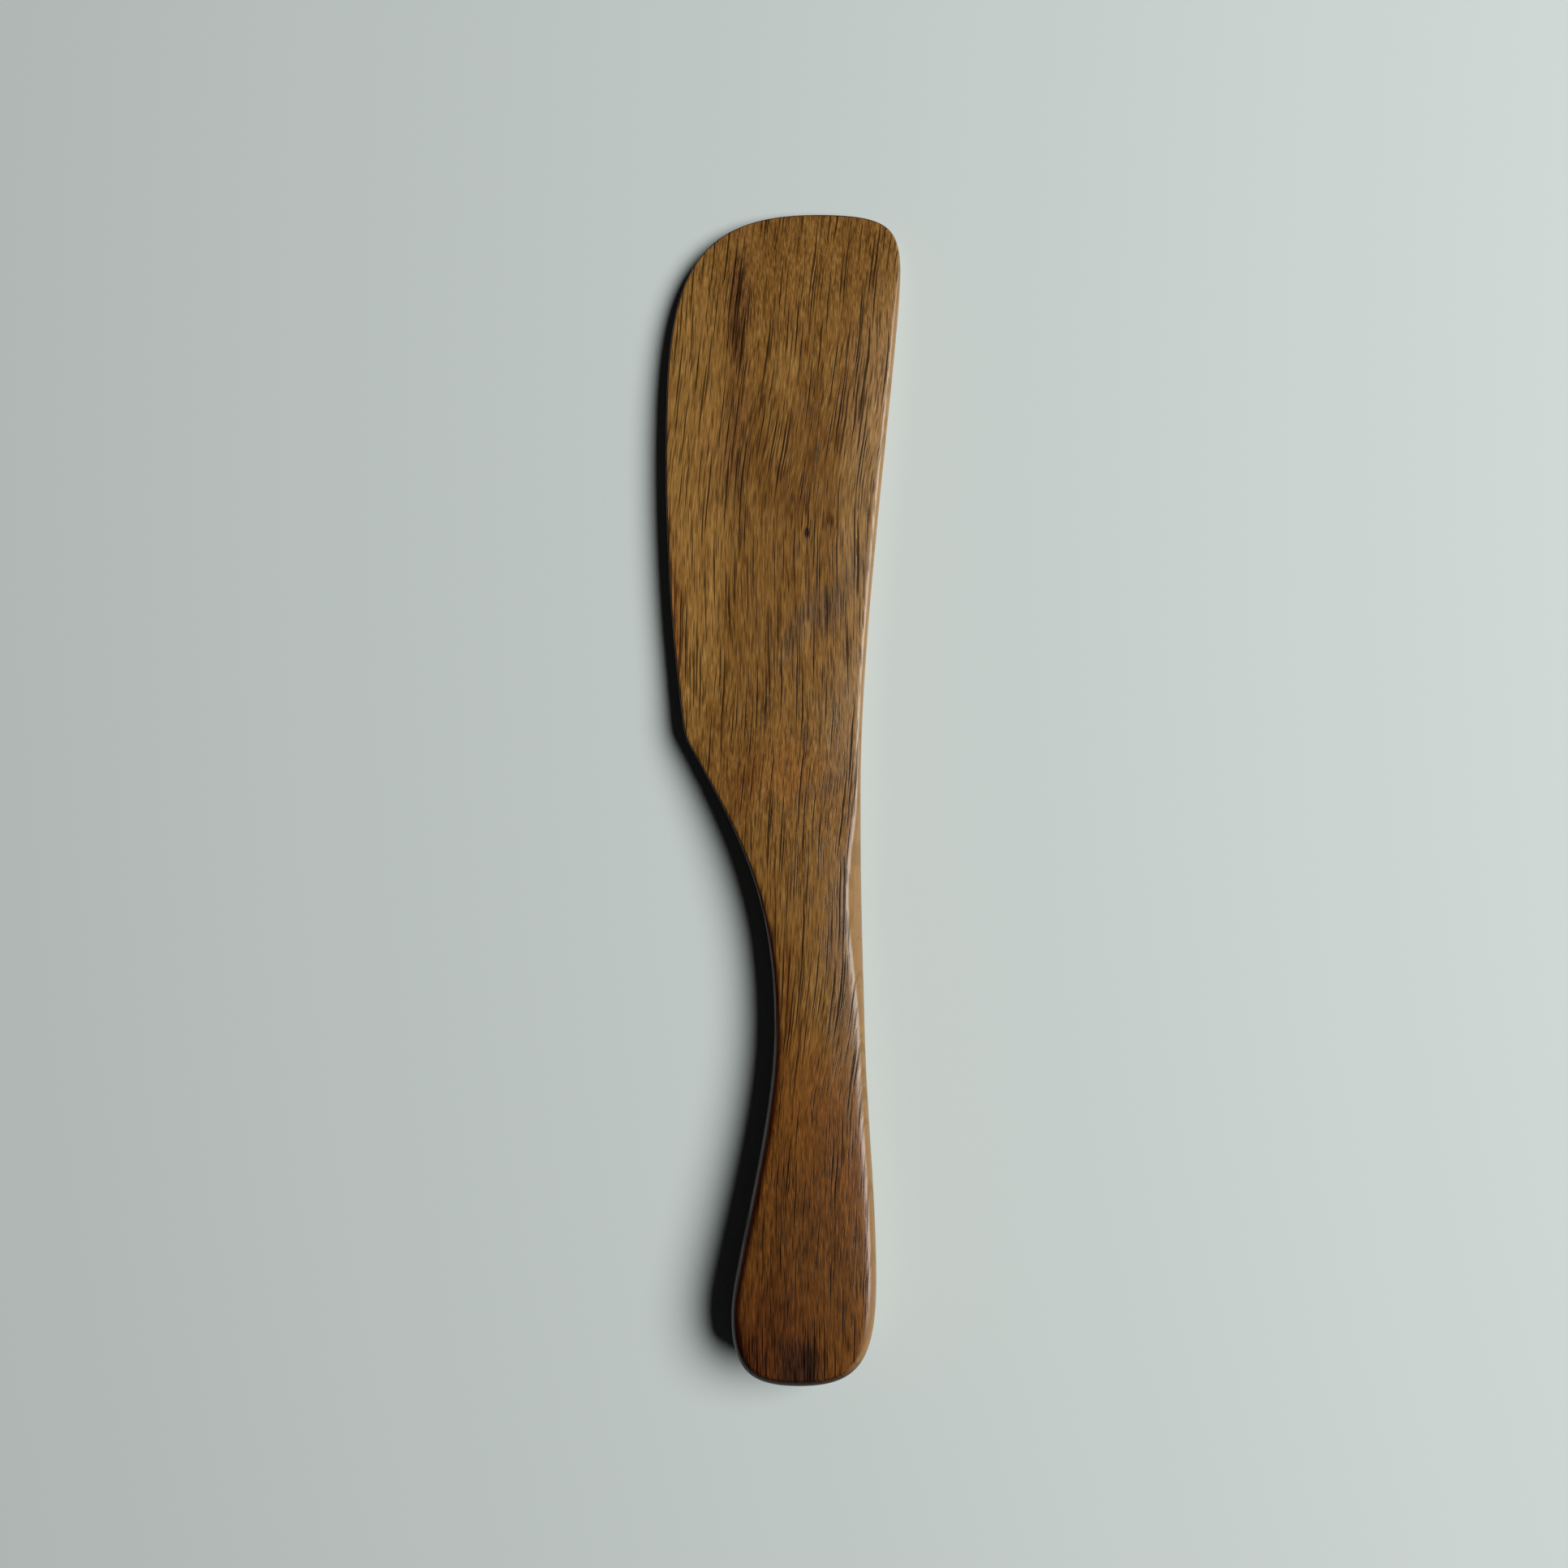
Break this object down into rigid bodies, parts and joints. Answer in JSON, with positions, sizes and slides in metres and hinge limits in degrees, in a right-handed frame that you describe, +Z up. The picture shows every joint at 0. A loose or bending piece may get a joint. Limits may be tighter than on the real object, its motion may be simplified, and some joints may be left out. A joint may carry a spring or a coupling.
{
  "type": "butter spreader",
  "caption": "Flat-backed wooden butter spreader carved from one piece, with a wide blade with a rounded tip, a slim neck and a flared handle.",
  "frame": {"origin": "under the middle of the bounding box, on the flat back that it rests on", "axes": "+Y along the spreader from the handle to the blade's tip, +X across it to the spine side, +Z up out of the carved face"},
  "size_m": [0.0364, 0.18, 0.0097],
  "materials": {
    "oiled_walnut": "sanded smooth and oiled, satin"
  },
  "bodies": {
    "root": {"spreader": "oiled_walnut"}
  },
  "joints": []
}
